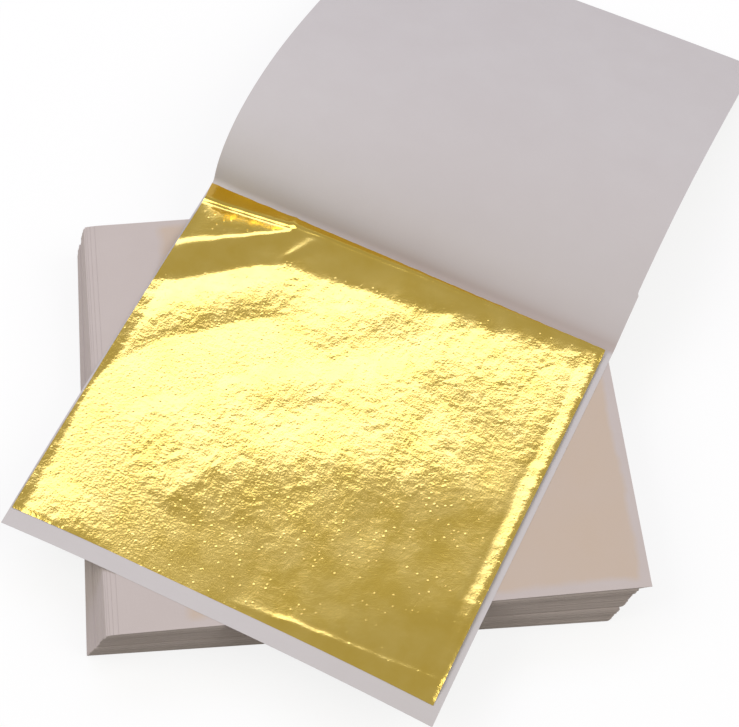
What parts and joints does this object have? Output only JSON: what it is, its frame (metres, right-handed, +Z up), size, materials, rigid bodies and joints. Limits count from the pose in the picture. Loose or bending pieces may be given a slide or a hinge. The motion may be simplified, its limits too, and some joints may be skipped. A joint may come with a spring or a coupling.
{
  "type": "gold leaf booklet",
  "caption": "Stack of folded tissue folios, each holding a thin metal leaf, with the uppermost folio opened and its flap turned back to show the leaf.",
  "frame": {"origin": "centre of the underside of the lowest folio, on the table", "axes": "+X from the stack's folded spine side to its open edge, +Y along the spine to the back, +Z up from the table"},
  "size_m": [0.1612, 0.1871, 0.0228],
  "materials": {
    "tissue": "thin matt tissue, faintly fibrous, slightly see-through",
    "gold_leaf": "bright beaten metal leaf, finely crinkled"
  },
  "bodies": {
    "gathering_1": {"gathering_1_papers": "tissue", "gathering_1_leaves": "gold_leaf"},
    "gathering_2": {"gathering_2_papers": "tissue", "gathering_2_leaves": "gold_leaf"},
    "gathering_3": {"gathering_3_papers": "tissue", "gathering_3_leaves": "gold_leaf"},
    "gathering_4": {"gathering_4_papers": "tissue", "gathering_4_leaves": "gold_leaf"},
    "gathering_5": {"gathering_5_papers": "tissue", "gathering_5_leaves": "gold_leaf"},
    "closed_folio_1": {"closed_folio_1_paper": "tissue", "closed_folio_1_leaf": "gold_leaf"},
    "closed_folio_2": {"closed_folio_2_paper": "tissue", "closed_folio_2_leaf": "gold_leaf"},
    "closed_folio_3": {"closed_folio_3_paper": "tissue", "closed_folio_3_leaf": "gold_leaf"},
    "closed_folio_4": {"closed_folio_4_paper": "tissue", "closed_folio_4_leaf": "gold_leaf"},
    "open_page": {"open_folio_page": "tissue"},
    "open_leaf": {"open_folio_leaf": "gold_leaf"},
    "open_spine": {"open_folio_spine": "tissue"},
    "open_arch": {"open_folio_arch": "tissue"},
    "open_flap": {"open_folio_flap": "tissue"}
  },
  "joints": [
    {"name": "gathering_2_lift", "type": "slide", "parent": "gathering_1", "child": "gathering_2", "axis": [0, 0, 1], "range_m": [0, 0.03]},
    {"name": "gathering_3_lift", "type": "slide", "parent": "gathering_2", "child": "gathering_3", "axis": [0, 0, 1], "range_m": [0, 0.03]},
    {"name": "gathering_4_lift", "type": "slide", "parent": "gathering_3", "child": "gathering_4", "axis": [0, 0, 1], "range_m": [0, 0.03]},
    {"name": "gathering_5_lift", "type": "slide", "parent": "gathering_4", "child": "gathering_5", "axis": [0, 0, 1], "range_m": [0, 0.03]},
    {"name": "closed_folio_1_lift", "type": "slide", "parent": "gathering_5", "child": "closed_folio_1", "axis": [0, 0, 1], "range_m": [0, 0.03]},
    {"name": "closed_folio_2_lift", "type": "slide", "parent": "closed_folio_1", "child": "closed_folio_2", "axis": [0, 0, 1], "range_m": [0, 0.03]},
    {"name": "closed_folio_3_lift", "type": "slide", "parent": "closed_folio_2", "child": "closed_folio_3", "axis": [0, 0, 1], "range_m": [0, 0.03]},
    {"name": "closed_folio_4_lift", "type": "slide", "parent": "closed_folio_3", "child": "closed_folio_4", "axis": [0, 0, 1], "range_m": [0, 0.03]},
    {"name": "open_folio_lift", "type": "slide", "parent": "closed_folio_4", "child": "open_page", "axis": [0, 0, 1], "range_m": [0, 0.03]},
    {"name": "flap_fold", "type": "hinge", "parent": "open_page", "child": "open_spine", "pos_m": [0.01732, 0.02949, 0.01255], "axis": [0.8607, -0.509, 0], "range_deg": [0, 121]},
    {"name": "flap_crease", "type": "hinge", "parent": "open_spine", "child": "open_arch", "pos_m": [0.02259, 0.03839, 0.01902], "axis": [0.8758, -0.4797, -0.0526], "range_deg": [0, 53.5]},
    {"name": "flap_bend", "type": "hinge", "parent": "open_arch", "child": "open_flap", "pos_m": [0.0335, 0.05685, 0.02033], "axis": [0.876, -0.481, -0.0355], "range_deg": [0, 19.5]},
    {"name": "leaf_slide", "type": "slide", "parent": "open_page", "child": "open_leaf", "axis": [-0.509, -0.8607, 0], "range_m": [0, 0.09]}
  ],
  "couplings": [
    {"joint": "flap_crease", "follows": "flap_fold", "ratio": 0.44},
    {"joint": "flap_bend", "follows": "flap_fold", "ratio": 0.16}
  ]
}
